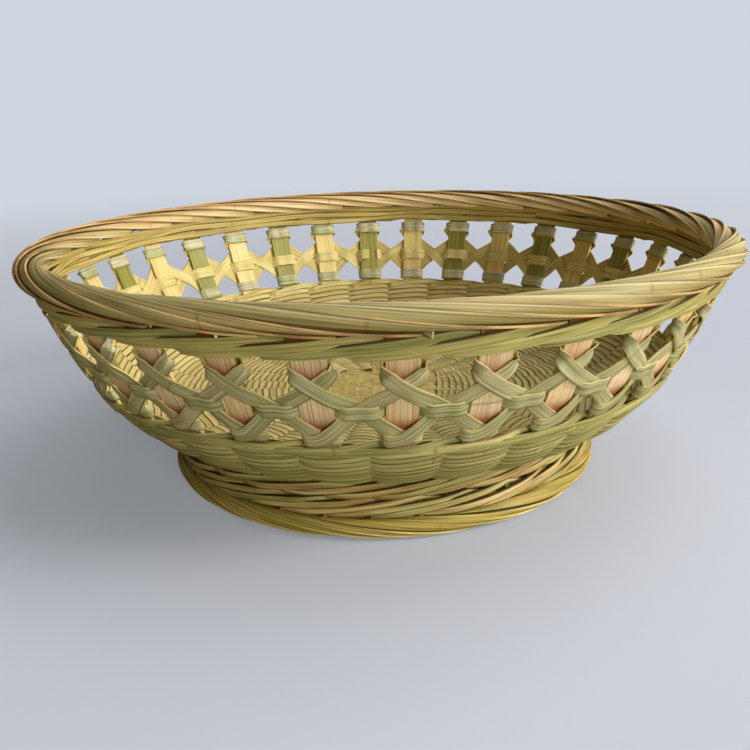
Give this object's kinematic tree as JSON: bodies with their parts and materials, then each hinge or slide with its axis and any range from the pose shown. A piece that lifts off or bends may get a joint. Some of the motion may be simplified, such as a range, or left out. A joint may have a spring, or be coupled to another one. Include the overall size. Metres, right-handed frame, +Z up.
{
  "type": "footed bamboo basket",
  "caption": "Round shallow woven bamboo bowl with a rolled rim, an open band of wrapped and crossing strips, a twined lower body and a woven foot ring.",
  "frame": {"origin": "middle of the foot's resting face, on the surface that the basket stands on", "axes": "+Z up along the bowl's axis; +X and +Y across the mouth, and the basket is alike round Z from one stake to the next"},
  "size_m": [0.3, 0.3, 0.1025],
  "materials": {
    "strip_bamboo": "split bamboo with its green bark side out, dried, unvarnished, fine lengthwise lines",
    "stake_bamboo": "split bamboo with its fibrous split side out, unvarnished",
    "rim_bamboo": "thinned bamboo ends, straw coloured, unvarnished",
    "foot_bamboo": "narrow split bamboo with yellow-green bark, unvarnished"
  },
  "bodies": {
    "root": {"belly_weave_inner": "strip_bamboo", "belly_weave_outer": "strip_bamboo", "floor_weave": "strip_bamboo", "foot_border": "foot_bamboo", "foot_core": "foot_bamboo", "foot_inner_wale": "foot_bamboo", "foot_wale_1": "foot_bamboo", "foot_wale_2": "foot_bamboo", "foot_wale_3": "foot_bamboo", "foot_wale_4": "foot_bamboo", "lower_band": "strip_bamboo", "middle_hoop": "strip_bamboo", "rim_border": "rim_bamboo", "side_weave_inner": "strip_bamboo", "side_weave_outer": "strip_bamboo", "stake_01": "stake_bamboo", "stake_02": "stake_bamboo", "stake_03": "stake_bamboo", "stake_04": "stake_bamboo", "stake_05": "stake_bamboo", "stake_06": "stake_bamboo", "stake_07": "stake_bamboo", "stake_08": "stake_bamboo", "stake_09": "stake_bamboo", "stake_10": "stake_bamboo", "stake_11": "stake_bamboo", "stake_12": "stake_bamboo", "stake_13": "stake_bamboo", "stake_14": "stake_bamboo", "stake_15": "stake_bamboo", "stake_16": "stake_bamboo", "stake_17": "stake_bamboo", "stake_18": "stake_bamboo", "stake_19": "stake_bamboo", "stake_20": "stake_bamboo", "stake_21": "stake_bamboo", "stake_22": "stake_bamboo", "stake_23": "stake_bamboo", "stake_24": "stake_bamboo", "stake_25": "stake_bamboo", "stake_26": "stake_bamboo", "stake_27": "stake_bamboo", "stake_28": "stake_bamboo", "stake_29": "stake_bamboo", "stake_30": "stake_bamboo", "stake_31": "stake_bamboo", "stake_32": "stake_bamboo", "upper_wale_inner": "rim_bamboo", "upper_wale_outer": "strip_bamboo", "zigzag_a_1": "strip_bamboo", "zigzag_a_2": "strip_bamboo", "zigzag_a_3": "strip_bamboo", "zigzag_a_4": "strip_bamboo", "zigzag_b_1": "strip_bamboo", "zigzag_b_2": "strip_bamboo", "zigzag_b_3": "strip_bamboo", "zigzag_b_4": "strip_bamboo"}
  },
  "joints": []
}
